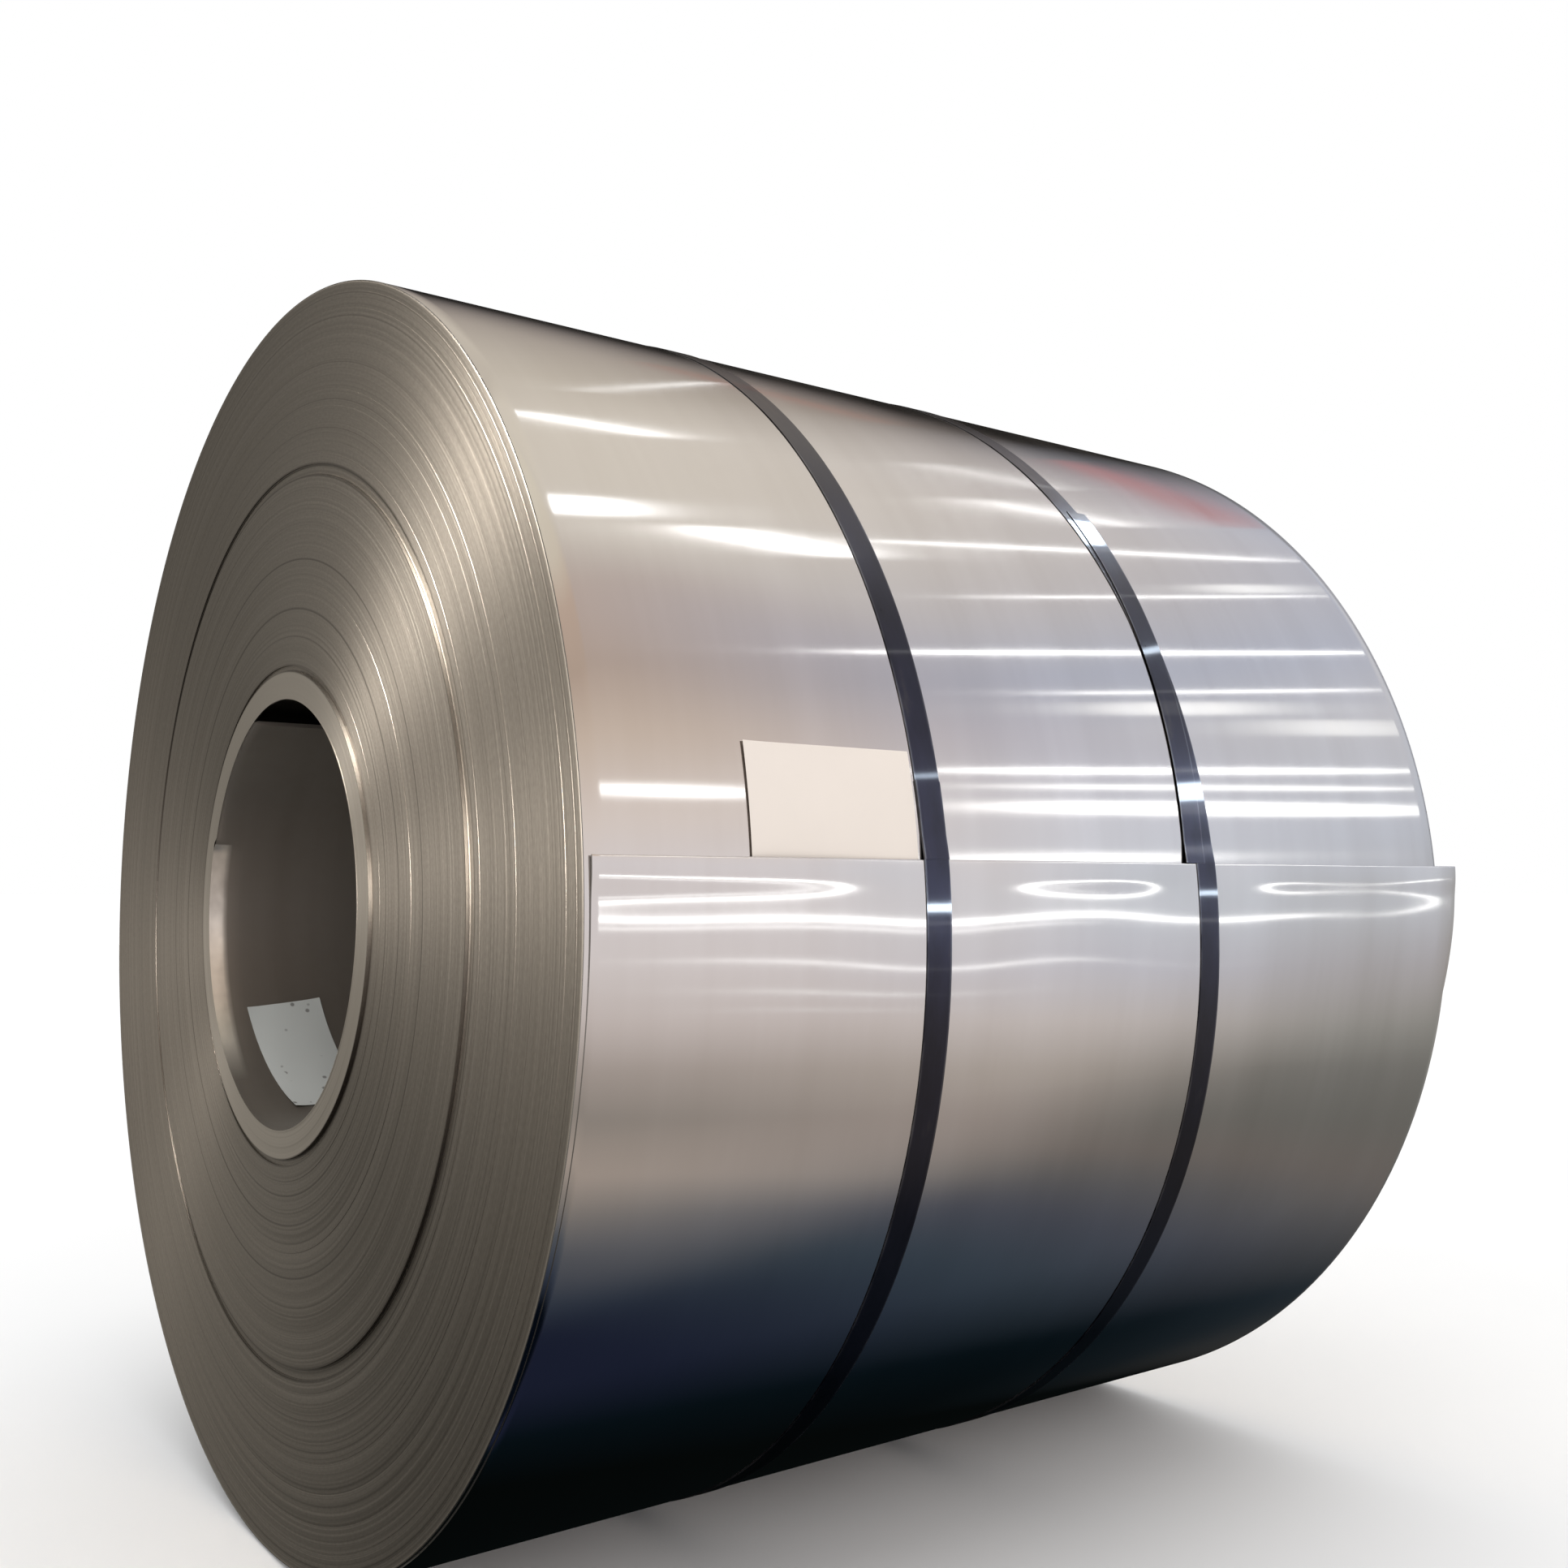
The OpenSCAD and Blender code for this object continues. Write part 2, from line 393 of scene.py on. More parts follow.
def outer_wrap():
    """The last half turn of the strip, loose at its cut end."""
    # The cut edge is blunted, by these amounts at these distances down from it
    blunt_at = np.array([0, 0.12, 0.4, 0.9]) * MM
    blunt_by = np.array([0.9, 0.5, 0.15, 0]) * MM
    turn = np.concatenate([blunt_at / WRAP_R, np.linspace(2.2 * MM / WRAP_R, 0.32, 92),
                           np.linspace(0.335, math.pi, 100)])
    near, far = wrap_edges(turn)
    blunted = np.interp(turn * WRAP_R, blunt_at, blunt_by)
    share = np.concatenate([[0, 0.0006], np.linspace(0.006, 0.994, 84), [0.9994, 1]])
    loops = []
    centre = np.array([math.cos(TAIL), 0, math.sin(TAIL)]) * WRAP_OFF
    for k, a in enumerate(turn):
        y = near[k] + (far[k] - near[k]) * share
        lift = wrap_lift(a * WRAP_R, y)
        rounding = np.full_like(y, blunted[k])
        rounding[[0, -1]] += 0.35 * MM
        outside = centre + around(TAIL - a, WRAP_R + lift - rounding, y)
        few = np.linspace(len(y) - 1, 0, 12).astype(int)
        inside = centre + around(TAIL - a, WRAP_R - STRIP_T + 0.02 * MM + lift[few], y[few])
        loops.append(np.concatenate([outside, inside]))
    return add_loft("outer_wrap_sheet", np.array(loops), turn * WRAP_R, sharp=40, flip=True)


# ---------------------------------------------------------------- straps

def strap_path(turn, height):
    """Radius under a strap at an angle from the cut end: on the coil above it, on the wrap below it."""
    angle = TAIL + turn
    on_coil = COIL_R + height
    on_wrap = off_centre_radius(angle, WRAP_R + height)
    climb = on_coil + STRIP_T * np.clip(1 - turn / CLIMB, 0, 1)
    return np.where(turn < 0, on_wrap, climb)


def strap_loop(y_half, thickness):
    """Across and height of the strap's section, with its slit edges slightly rounded."""
    e = 0.3 * MM
    t = thickness
    return np.array([
        (-y_half, e), (-y_half, t - e), (-y_half + e, t), (-y_half + 3 * MM, t), (0.0, t),
        (y_half - 3 * MM, t), (y_half - e, t), (y_half, t - e), (y_half, e), (y_half - e, 0),
        (-y_half + e, 0),
    ])


def strap_band(name, y0, lean, turns, layer, seed, closed):
    """A strap along a list of angles from the cut end, one layer up for its overlapped end."""
    section = strap_loop(STRAP_W / 2, STRAP_T - 2 * STRAP_ROOM)
    base = (layer - 1) * STRAP_T + STRAP_ROOM
    loops = []
    for a in turns:
        y_mid = y0 - COIL_R * math.sin(TAIL + a) * math.tan(lean)
        bow = smooth_noise(np.array(a), seed, (1, 2, 5, 9)) * 0.12 * MM
        radius = strap_path(np.array(a), base) + section[:, 1]
        loops.append(around(TAIL + a, radius, y_mid + bow + section[:, 0]))
    loops = np.array(loops)
    length = np.array(turns) * COIL_R
    girth = np.concatenate([section[:, 0], section[:1, 0]])
    if not closed:
        return add_loft(name, loops, length, sharp=35, girth=girth)
    points = np.concatenate([loops, loops[:, :1]], 1)
    length = np.append(length, length[0] + 2 * math.pi * COIL_R)
    flat = np.stack(np.broadcast_arrays(length[:, None], girth[None, :]), -1)
    return add_grid(name, points, flat, closed=True, flip=True, sharp=35)


def strap_pieces(node):
    """Both layers of a strap: the ring, and the end that lies on it."""
    s = STRAPS[node]
    climb = np.linspace(0, CLIMB, 5)
    ring = np.concatenate([climb, np.linspace(CLIMB + 0.01, math.pi, 150),
                           np.linspace(-math.pi + 0.02, -0.012, 150), [-1e-5]])
    parts = [strap_band(node + "_ring", s["y"], s["lean"], ring, 1, 3, True)]
    top = np.concatenate([np.linspace(1e-4, CLIMB, 4), np.linspace(CLIMB + 0.008, s["end_angle"], 60)])
    parts.append(strap_band(node + "_end", s["end_y"], s["end_lean"], top, 2, 8, False))
    return parts


# ---------------------------------------------------------------- paper

def paper_sheet(name, radius, outward, angles, y_span, lean, lift, thick):
    """A thin sheet on the coil: lift(u, v) is how far it stands off, for u and v from 0 to 1."""
    u = np.linspace(0, 1, 40)
    grid_u, grid_v = np.meshgrid(u, u, indexing="ij")
    way = 1 if outward else -1
    angle = angles[0] + (angles[1] - angles[0]) * grid_v
    y = y_span[0] + (y_span[1] - y_span[0]) * grid_u
    arc = (grid_v - 0.5) * (angles[1] - angles[0]) * radius
    width = (grid_u - 0.5) * (y_span[1] - y_span[0])
    y = y + arc * math.sin(lean) * way
    angle = angle - width * math.sin(lean) / radius * way
    off = lift(grid_u, grid_v)
    loops = []
    for k in range(len(u)):
        top = around(angle[k], radius + way * (off[k] + thick), y[k])
        under = around(angle[k], radius + way * off[k], y[k])
        loops.append(np.concatenate([top, under[::-1]]))
    return add_loft(name, np.array(loops), u * (y_span[1] - y_span[0]), sharp=40, flip=outward)


# ---------------------------------------------------------------- materials

class Shader:
    """A material's node tree with short calls to add and join nodes."""

    def __init__(self, name):
        self.material = bpy.data.materials.new(name)
        self.material.use_nodes = True
        self.tree = self.material.node_tree
        self.tree.nodes.clear()
        self.output = self.tree.nodes.new("ShaderNodeOutputMaterial")

    def node(self, kind, values=None, **settings):
        made = self.tree.nodes.new("ShaderNode" + kind)
        for key, value in settings.items():
            setattr(made, key, value)
        for key, value in (values or {}).items():
            made.inputs[key].default_value = value
        return made

    def join(self, source, target):
        self.tree.links.new(source, target)

    def principled(self, **values):
        shader = self.node("BsdfPrincipled")
        for key, value in values.items():
            shader.inputs[key.replace("_", " ")].default_value = value
        self.join(shader.outputs[0], self.output.inputs["Surface"])
        return shader

    def arc(self, scale):
        """The piece's flat coordinates, scaled."""
        source = self.node("UVMap", uv_map="arc")
        scaled = self.node("Mapping", {"Scale": scale})
        self.join(source.outputs[0], scaled.inputs["Vector"])
        return scaled.outputs[0]

    def arc_parts(self):
        """The piece's two flat coordinates, one by one."""
        source = self.node("UVMap", uv_map="arc")
        split = self.node("SeparateXYZ")
        self.join(source.outputs[0], split.inputs[0])
        return split.outputs[0], split.outputs[1]

    def arc_noise(self, scale_u, scale_v, detail, **settings):
        """Noise over the flat coordinates, with its own number of waves to the metre each way."""
        return self.noise(self.arc((scale_u, scale_v, 1)), 1.0, detail=detail, **settings)

    def noise(self, vector, scale, detail=4.0, roughness=0.5, distortion=0.0):
        made = self.node("TexNoise", {"Scale": scale, "Detail": detail, "Roughness": roughness,
                                      "Distortion": distortion})
        self.join(vector, made.inputs["Vector"])
        return made.outputs["Fac"]

    def ramp(self, factor, stops):
        made = self.node("ValToRGB")
        elements = made.color_ramp.elements
        while len(elements) < len(stops):
            elements.new(0.5)
        for element, (place, colour) in zip(elements, stops):
            element.position = place
            element.color = (*colour, 1.0) if len(colour) == 3 else colour
        self.join(factor, made.inputs["Fac"])
        return made.outputs["Color"]

    def mix(self, factor, a, b, blend="MIX"):
        made = self.node("Mix", data_type="RGBA", blend_type=blend)
        for source, socket in ((factor, made.inputs[0]), (a, made.inputs[6]), (b, made.inputs[7])):
            if isinstance(source, (int, float, tuple)):
                socket.default_value = (*source, 1.0) if isinstance(source, tuple) else source
            else:
                self.join(source, socket)
        return made.outputs[2]

    def math(self, operation, a, b=0.0, c=0.0):
        made = self.node("Math", operation=operation)
        for source, socket in zip((a, b, c), made.inputs):
            if isinstance(source, (int, float)):
                socket.default_value = source
            else:
                self.join(source, socket)
        return made.outputs[0]

    def scaled(self, value, low, high, to_low, to_high):
        made = self.node("MapRange", {"From Min": low, "From Max": high,
                                      "To Min": to_low, "To Max": to_high})
        self.join(value, made.inputs["Value"])
        return made.outputs[0]

    def bump(self, shader, heights):
        """Bumps from a list of (height socket, metres, strength)."""
        normal = None
        for height, metres, strength in heights:
            made = self.node("Bump", {"Distance": metres, "Strength": strength})
            self.join(height, made.inputs["Height"])
            if normal is not None:
                self.join(normal, made.inputs["Normal"])
            normal = made.outputs[0]
        self.join(normal, shader.inputs["Normal"])

    def grooved(self, shader):
        """Rolling lines and turn edges run round the axis, so gloss spreads across them."""
        tangent = self.node("Tangent", direction_type="RADIAL", axis="Y")
        self.join(tangent.outputs[0], shader.inputs["Tangent"])


def bright_steel_outside():
    """The rolled face of the strip: fine lines round the coil, soft smudges and a slow swell."""
    m = Shader("bright_steel_outside")
    shader = m.principled(Metallic=1.0, Anisotropic=0.9, Anisotropic_Rotation=0.25)
    m.grooved(shader)
    grain = m.arc_noise(1.2, 900, 3)
    bands = m.arc_noise(0.35, 9, 5, roughness=0.6)
    smudge = m.arc_noise(3.0, 3.6, 5, roughness=0.62, distortion=0.5)
    colour = m.ramp(bands, [(0.3, (0.63, 0.62, 0.605)), (0.7, (0.69, 0.685, 0.68))])
    colour = m.mix(m.scaled(smudge, 0.45, 0.75, 0.0, 0.3), colour, (0.60, 0.585, 0.57))
    m.join(colour, shader.inputs["Base Color"])
    rough = m.math("ADD", m.scaled(bands, 0.3, 0.7, 0.095, 0.12), m.scaled(smudge, 0.45, 0.8, 0.0, 0.03))
    m.join(rough, shader.inputs["Roughness"])
    swell = m.arc_noise(1.0, 1.6, 1)
    m.bump(shader, [(swell, 1.2 * MM, 0.5), (grain, 0.006 * MM, 0.3)])
    return m.material


def bright_steel_ends():
    """The slit edges of the turns, duller and warmer than the rolled face."""
    m = Shader("bright_steel_ends")
    shader = m.principled(Metallic=1.0, Anisotropic=0.75, Anisotropic_Rotation=0.25)
    m.grooved(shader)
    turns = m.arc_noise(0.01, 300, 4, roughness=0.75)
    groups = m.arc_noise(0.12, 30, 3, roughness=0.6)
    patch = m.arc_noise(1.4, 5, 4)
    grain = m.arc_noise(90, 330, 2)
    # Thin dark rings at random radii: painted shade for the gaps between turns
    lines = m.scaled(m.arc_noise(0.0, 120, 1), 0.30, 0.36, 0.6, 0.0)
    colour = m.ramp(turns, [(0.3, (0.29, 0.27, 0.243)), (0.5, (0.40, 0.373, 0.336)),
                            (0.72, (0.50, 0.47, 0.427))])
    colour = m.mix(m.scaled(groups, 0.35, 0.7, 0.0, 0.3), colour, (0.33, 0.307, 0.273))
    colour = m.mix(m.scaled(grain, 0.35, 0.65, 0.0, 0.4), colour, (0.28, 0.26, 0.235))
    colour = m.mix(lines, colour, (0.10, 0.09, 0.08))
    _, radius = m.arc_parts()
    # Painted shade in the steps where the runs of turns meet
    for shaded_step_radius in (BORE_R + CORE_REACH, RESTART_IN, RESTART_OUT):
        off = m.math("ABSOLUTE", m.math("SUBTRACT", radius, shaded_step_radius))
        colour = m.mix(m.scaled(off, 1.0 * MM, 2.6 * MM, 0.6, 0.0), colour, (0.09, 0.08, 0.07))
    colour = m.mix(m.scaled(patch, 0.5, 0.8, 0.0, 0.2), colour, (0.35, 0.32, 0.28))
    # The core's turns are lighter, and the outermost turn's edge gets a painted highlight
    core = m.scaled(radius, BORE_R + CORE_REACH - 2 * MM, BORE_R + CORE_REACH, 1.0, 0.0)
    rim_highlight = m.scaled(radius, COIL_R - 3 * MM, COIL_R - 2 * MM, 0.0, 1.0)
    colour = m.mix(m.math("ADD", m.math("MULTIPLY", core, 0.9), rim_highlight), colour, (0.72, 0.68, 0.62))
    m.join(colour, shader.inputs["Base Color"])
    satin = m.math("MULTIPLY_ADD", core, -0.1, m.scaled(turns, 0.3, 0.7, 0.40, 0.48))
    m.join(satin, shader.inputs["Roughness"])
    m.bump(shader, [(turns, 0.10 * MM, 0.5), (grain, 0.12 * MM, 0.35)])
    return m.material


def bright_steel_bore():
    """The inside of the innermost turn, painted darker than the outside as shade inside the bore."""
    m = Shader("bright_steel_bore")
    shader = m.principled(Metallic=0.8, Anisotropic=0.4, Anisotropic_Rotation=0.25)
    m.grooved(shader)
    bands = m.arc_noise(0.6, 9, 5)
    dull = m.arc_noise(4, 3, 5, roughness=0.6)
    colour = m.ramp(bands, [(0.3, (0.30, 0.27, 0.235)), (0.7, (0.38, 0.345, 0.305))])
    colour = m.mix(m.scaled(dull, 0.45, 0.75, 0.0, 0.4), colour, (0.25, 0.22, 0.19))
    arc, y = m.arc_parts()
    # The gap past the strip's inner end gets painted shade
    past = m.math("ADD", arc, INNER_END * BORE_R)
    shade = m.scaled(past, 0.3 * MM, 78 * MM, 1.0, 0.0)
    shade = m.math("MULTIPLY", shade, m.scaled(past, 0.0, 0.2 * MM, 0.0, 1.0))
    colour = m.mix(m.scaled(shade, 0.0, 0.25, 0.0, 1.0), colour, (0.012, 0.010, 0.008))
    # The belled part of the mouth gets a painted highlight, lighter in noisy patches, and is less rough
    # there
    top = 2 * math.pi - BELL_START
    starts = m.scaled(arc, (top - BELL_REACH) * BORE_R, (top - 0.8 * BELL_REACH) * BORE_R, 0.0, 1.0)
    ends = m.scaled(arc, top * BORE_R - 2 * MM, top * BORE_R, 1.0, 0.0)
    mouth = -HALF_W - CORE_SLIP
    near = m.scaled(y, mouth + 15 * MM, mouth + 22 * MM, 1.0, 0.0)
    near = m.math("MULTIPLY", m.math("MULTIPLY", starts, ends), near)
    mouth_glints = m.scaled(m.arc_noise(14, 20, 3), 0.35, 0.65, 0.35, 1.0)
    colour = m.mix(m.math("MULTIPLY", near, mouth_glints), colour, (0.85, 0.80, 0.72))
    m.join(colour, shader.inputs["Base Color"])
    satin = m.math("MULTIPLY_ADD", near, -0.2, m.scaled(dull, 0.3, 0.7, 0.42, 0.58))
    m.join(satin, shader.inputs["Roughness"])
    m.bump(shader, [(bands, 0.2 * MM, 0.4), (dull, 0.2 * MM, 0.3)])
    return m.material


def blued_strap():
    """Blue-black strapping, with a painted highlight in patches along its slit edges."""
    m = Shader("blued_strap")
    shader = m.principled(Metallic=0.9, Coat_Weight=0.35, Coat_Roughness=0.06)
    _, across = m.arc_parts()
    edge = m.scaled(m.math("ABSOLUTE", across), 13.2 * MM, 15.8 * MM, 0.0, 1.0)
    blotch = m.arc_noise(9, 30, 5, roughness=0.6)
    lines = m.arc_noise(2, 900, 2)
    colour = m.ramp(blotch, [(0.3, (0.009, 0.009, 0.016)), (0.62, (0.016, 0.016, 0.03)),
                             (0.8, (0.04, 0.037, 0.04))])
    # Painted highlight in patches along the slit edges
    edge_highlight = m.math("MULTIPLY", edge, m.scaled(blotch, 0.4, 0.7, 0.0, 0.55))
    colour = m.mix(edge_highlight, colour, (0.30, 0.30, 0.31))
    m.join(colour, shader.inputs["Base Color"])
    m.join(m.scaled(blotch, 0.3, 0.75, 0.26, 0.42), shader.inputs["Roughness"])
    m.bump(shader, [(lines, 0.05 * MM, 0.4), (blotch, 0.2 * MM, 0.3)])
    return m.material


def paper(name, tint, spots):
    """Matt paper of one tint, with a few dark spots on it if asked for."""
    m = Shader(name)
    shader = m.principled(Roughness=0.62)
    where = m.node("TexCoord").outputs["Object"]
    fibre = m.noise(where, 900.0, detail=4)
    cloud = m.noise(where, 14.0, detail=3)
    colour = m.mix(m.scaled(cloud, 0.3, 0.7, 0.0, 0.35), tint, tuple(c * 0.93 for c in tint))
    if spots:
        specks = m.node("TexVoronoi", {"Scale": 55.0, "Randomness": 1.0}, feature="F1")
        m.join(where, specks.inputs["Vector"])
        dot = m.scaled(specks.outputs["Distance"], 0.11, 0.19, 0.8, 0.0)
        few = m.scaled(m.noise(where, 30.0, detail=1), 0.47, 0.50, 0.0, 1.0)
        colour = m.mix(m.math("MULTIPLY", dot, few), colour, (0.16, 0.15, 0.14))
    m.join(colour, shader.inputs["Base Color"])
    m.bump(shader, [(fibre, 0.05 * MM, 0.5), (cloud, 0.5 * MM, 0.3)])
    return m.material


# ---------------------------------------------------------------- build and dress the pieces

def dress(piece, material, node):
    piece.data.materials.append(material)
    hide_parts(node)
    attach(piece, "root")


OUTSIDE = bright_steel_outside()
ENDS = bright_steel_ends()
BORE = bright_steel_bore()
STRAP = blued_strap()

near_end, far_end = coil_end("coil_near_end", -1, 11), coil_end("coil_far_end", 1, 12)
mantle, bore, wrap = coil_mantle(), bore_wall(), outer_wrap()
for steel_piece, steel, steel_node in ((near_end, ENDS, "coil"), (far_end, ENDS, "coil"),
                                       (mantle, OUTSIDE, "coil"), (bore, BORE, "coil"),
                                       (wrap, OUTSIDE, "outer_wrap")):
    dress(steel_piece, steel, steel_node)
straps = []
for strap_node in STRAPS:
    for strap_part in strap_pieces(strap_node):
        dress(strap_part, STRAP, strap_node)
        straps.append(strap_part)


def outer_label_lift(u, v):
    """The card's edge towards -Y has sprung off a little."""
    sprung = 1.6 * np.clip(1 - u / 0.16, 0, 1) ** 2
    return (0.05 + sprung + 0.5 * np.sin(2.2 * u + 1.1 * v) ** 2 * (1 - u)) * MM


def bore_label_lift(u, v):
    """The tag is stuck in its middle, and its corners have come up."""
    corners = 2.2 * np.abs(2 * u - 1) ** 4 * np.abs(2 * v - 1) ** 2
    return (0.05 + corners + 0.25 * np.sin(5 * u + 2 * v) ** 2) * MM


def angle_span(node):
    """Lowest and highest angle of a thin sheet's CAD node, from its mesh."""
    mesh = frame["nodes"][node].data
    angles = np.unwrap(np.sort([math.atan2(v.co.z, v.co.x) for v in mesh.vertices]))
    return float(angles.min()), float(angles.max())


label_low, label_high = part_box("outer_label")
card = paper_sheet("outer_card", COIL_R, True, angle_span("outer_label"), (label_low.y, label_high.y),
                   0.0, outer_label_lift, 0.35 * MM)
dress(card, paper("cream_card", (0.80, 0.715, 0.645), False), "outer_label")

tag_low, tag_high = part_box("bore_label")
tag = paper_sheet("bore_tag", BORE_R, False, angle_span("bore_label"), (tag_low.y, tag_high.y),
                  math.radians(-5.5), bore_label_lift, 0.3 * MM)
dress(tag, paper("white_tag", (0.60, 0.61, 0.58), True), "bore_label")


# ---------------------------------------------------------------- stage

def only_in_reflections(piece):
    for rays in ("camera", "diffuse", "shadow", "transmission", "volume_scatter"):
        setattr(piece, "visible_" + rays, False)


# What the bright strip mirrors in each direction of the hall: elevation in degrees and colour
HALL_WARM = [
    (-62, (0.002, 0.004, 0.008)), (-56, (0.045, 0.056, 0.085)), (-50, (0.11, 0.12, 0.14)),
    (-44, (0.30, 0.265, 0.24)), (-38, (0.50, 0.42, 0.365)), (-30, (0.37, 0.325, 0.29)),
    (-23, (0.52, 0.45, 0.41)), (-16, (0.78, 0.69, 0.66)), (-9, (0.93, 0.85, 0.84)),
    (5, (0.96, 0.89, 0.90)), (14, (0.98, 0.86, 0.80)), (27, (0.82, 0.67, 0.56)),
    (38, (0.62, 0.48, 0.39)), (49, (0.69, 0.53, 0.43)), (58, (0.86, 0.76, 0.63)),
    (70, (0.95, 0.86, 0.72)),
]
HALL_COOL = [
    (-62, (0.018, 0.021, 0.043)), (-56, (0.05, 0.063, 0.09)), (-50, (0.125, 0.127, 0.143)),
    (-43, (0.21, 0.205, 0.215)), (-38, (0.40, 0.355, 0.33)), (-30, (0.47, 0.40, 0.365)),
    (-23, (0.60, 0.53, 0.48)), (-16, (0.79, 0.72, 0.70)), (-9, (0.77, 0.77, 0.86)),
    (0, (0.84, 0.88, 0.97)), (12, (0.88, 0.90, 1.0)), (26, (0.68, 0.66, 0.75)), (33, (0.57, 0.56, 0.64)),
    (41, (0.62, 0.58, 0.62)), (50, (0.66, 0.56, 0.52)), (60, (0.86, 0.78, 0.68)), (70, (0.90, 0.82, 0.72)),
]
HALL_FAR = [
    (-60, (0.014, 0.018, 0.04)), (-53, (0.028, 0.038, 0.06)), (-47, (0.048, 0.068, 0.092)),
    (-41, (0.085, 0.092, 0.12)), (-36, (0.15, 0.145, 0.145)), (-33, (0.20, 0.175, 0.16)),
    (-28, (0.185, 0.18, 0.165)), (-22, (0.22, 0.215, 0.20)), (-16, (0.34, 0.335, 0.31)),
    (-9, (0.45, 0.42, 0.405)), (-2, (0.54, 0.54, 0.55)), (10, (0.70, 0.73, 0.82)), (24, (0.78, 0.78, 0.84)),
    (33, (0.62, 0.65, 0.77)), (42, (0.74, 0.70, 0.71)), (55, (0.90, 0.82, 0.74)), (70, (0.95, 0.86, 0.74)),
]
HALL_SHADED = [
    (-42, (0.003, 0.007, 0.010)), (-34, (0.02, 0.03, 0.04)), (-26, (0.12, 0.12, 0.12)),
    (-9, (0.40, 0.38, 0.37)), (10, (0.70, 0.73, 0.82)), (24, (0.78, 0.78, 0.84)),
    (33, (0.62, 0.65, 0.77)), (42, (0.74, 0.70, 0.71)), (55, (0.90, 0.82, 0.74)), (70, (0.95, 0.86, 0.74)),
]
HALL_BEHIND = [
    (-30, (0.002, 0.003, 0.003)), (19, (0.006, 0.006, 0.006)), (30, (0.012, 0.011, 0.010)),
    (34, (0.12, 0.105, 0.10)), (38, (0.27, 0.235, 0.215)), (45, (0.50, 0.44, 0.385)),
    (60, (0.78, 0.70, 0.60)),
]
HALL_DULL = [
    (-45, (0.02, 0.019, 0.017)), (-24, (0.09, 0.085, 0.075)), (-8, (0.30, 0.28, 0.25)),
    (8, (0.26, 0.243, 0.218)), (30, (0.25, 0.232, 0.21)), (60, (0.42, 0.385, 0.34)),
]
HALL_FRONT = [
    (-50, (0.01, 0.011, 0.014)), (-35, (0.10, 0.093, 0.084)), (-12, (0.30, 0.28, 0.25)),
    (2, (0.28, 0.26, 0.235)), (20, (0.20, 0.187, 0.168)), (45, (0.20, 0.185, 0.165)),
    (70, (0.40, 0.37, 0.33)),
]
# Azimuths, in degrees from +X towards +Y, between which one column of colours turns into the next
HALL_TURNS = [
    ((-150, -118), HALL_FRONT), ((-70, -20), HALL_WARM), ((36, 49), HALL_COOL), ((50, 59), HALL_FAR),
    ((80, 104), HALL_SHADED), ((104, 128), HALL_BEHIND), ((166, 178), HALL_DULL),
]


def hall_column(m, elevation, stops):
    """One column of colours, by an elevation that goes from 0 at the nadir to 1 at the zenith."""
    return m.ramp(elevation, [((degrees + 90) / 180, colour) for degrees, colour in stops])


def hall_colour(m):
    """The hall round the coil: warm towards +X, cool towards +Y, and dark where the floor is shaded."""
    where = m.node("TexCoord").outputs["Object"]
    way = m.node("VectorMath", operation="NORMALIZE")
    m.join(where, way.inputs[0])
    split = m.node("SeparateXYZ")
    m.join(way.outputs[0], split.inputs[0])
    rise = m.math("ARCSINE", split.outputs[2])
    elevation = m.scaled(rise, -math.pi / 2, math.pi / 2, 0.0, 1.0)
    azimuth = m.math("ARCTAN2", split.outputs[1], split.outputs[0])
    colour = hall_column(m, elevation, HALL_DULL)
    for (start, end), stops in HALL_TURNS:
        share = m.scaled(azimuth, math.radians(start), math.radians(end), 0.0, 1.0)
        colour = m.mix(share, colour, hall_column(m, elevation, stops))
    return colour


HALL_RADIUS = 40.0


def dome():
    """The hall as a sphere round the coil."""
    up = np.linspace(-math.pi / 2 + 0.001, math.pi / 2 - 0.001, 48)
    turn = np.linspace(0, 2 * math.pi, 96, endpoint=False)
    level = HALL_RADIUS * np.cos(up)[None, :]
    points = np.stack(np.broadcast_arrays(np.cos(turn)[:, None] * level, np.sin(turn)[:, None] * level,
                                          HALL_RADIUS * np.sin(up)[None, :]), -1)
    piece = add_grid("stage_hall", points, np.zeros((len(turn) + 1, len(up), 2)), closed=True, flip=True)
    m = Shader("stage_hall")
    glow = m.node("Emission")
    m.join(hall_colour(m), glow.inputs["Color"])
    m.join(glow.outputs[0], m.output.inputs["Surface"])
    piece.data.materials.append(m.material)
    only_in_reflections(piece)


def light_group(name, pieces):
    """Pieces that a lamp linked to this group reaches. It reaches no others."""
    group = bpy.data.collections.new(name)
    for piece in pieces:
        group.objects.link(piece)
    return group


ROUND = light_group("stage_round", [mantle, wrap, *straps])
NEAR_END = light_group("stage_near", [near_end])
FAR_END = light_group("stage_far", [far_end])
ON_STRAPS = light_group("stage_straps", straps)


def tube(start, end, width, power, colour):
    """A lamp tube between two points, thinner towards its ends, that only the outside mirrors."""
    start, end = np.array(start, float), np.array(end, float)
    share = np.linspace(0, 1, 13)
    middle = start + (end - start) * share[:, None]
    across = np.cross(end - start, middle.mean(0))
    across /= np.linalg.norm(across)
    half = width / 2 * np.sqrt(np.clip(1 - (2 * share - 1) ** 4, 0.002, 1))[:, None] * across
    points = np.stack([middle - half, middle + half], 1)
    piece = add_grid("stage_tube", points, np.zeros((len(share), 2, 2)))
    m = Shader("stage_tube")
    glow = m.node("Emission", {"Color": (*colour, 1.0), "Strength": power})
    m.join(glow.outputs[0], m.output.inputs["Surface"])
    piece.data.materials.append(m.material)
    only_in_reflections(piece)
    piece.light_linking.receiver_collection = ROUND


def pointed(azimuth, elevation, distance=20.0):
    """A point in a direction, given in degrees."""
    a, e = math.radians(azimuth), math.radians(elevation)
    level = distance * math.cos(e)
    return (level * math.cos(a), level * math.sin(a), distance * math.sin(e))


FLOOR_REACH = 200.0


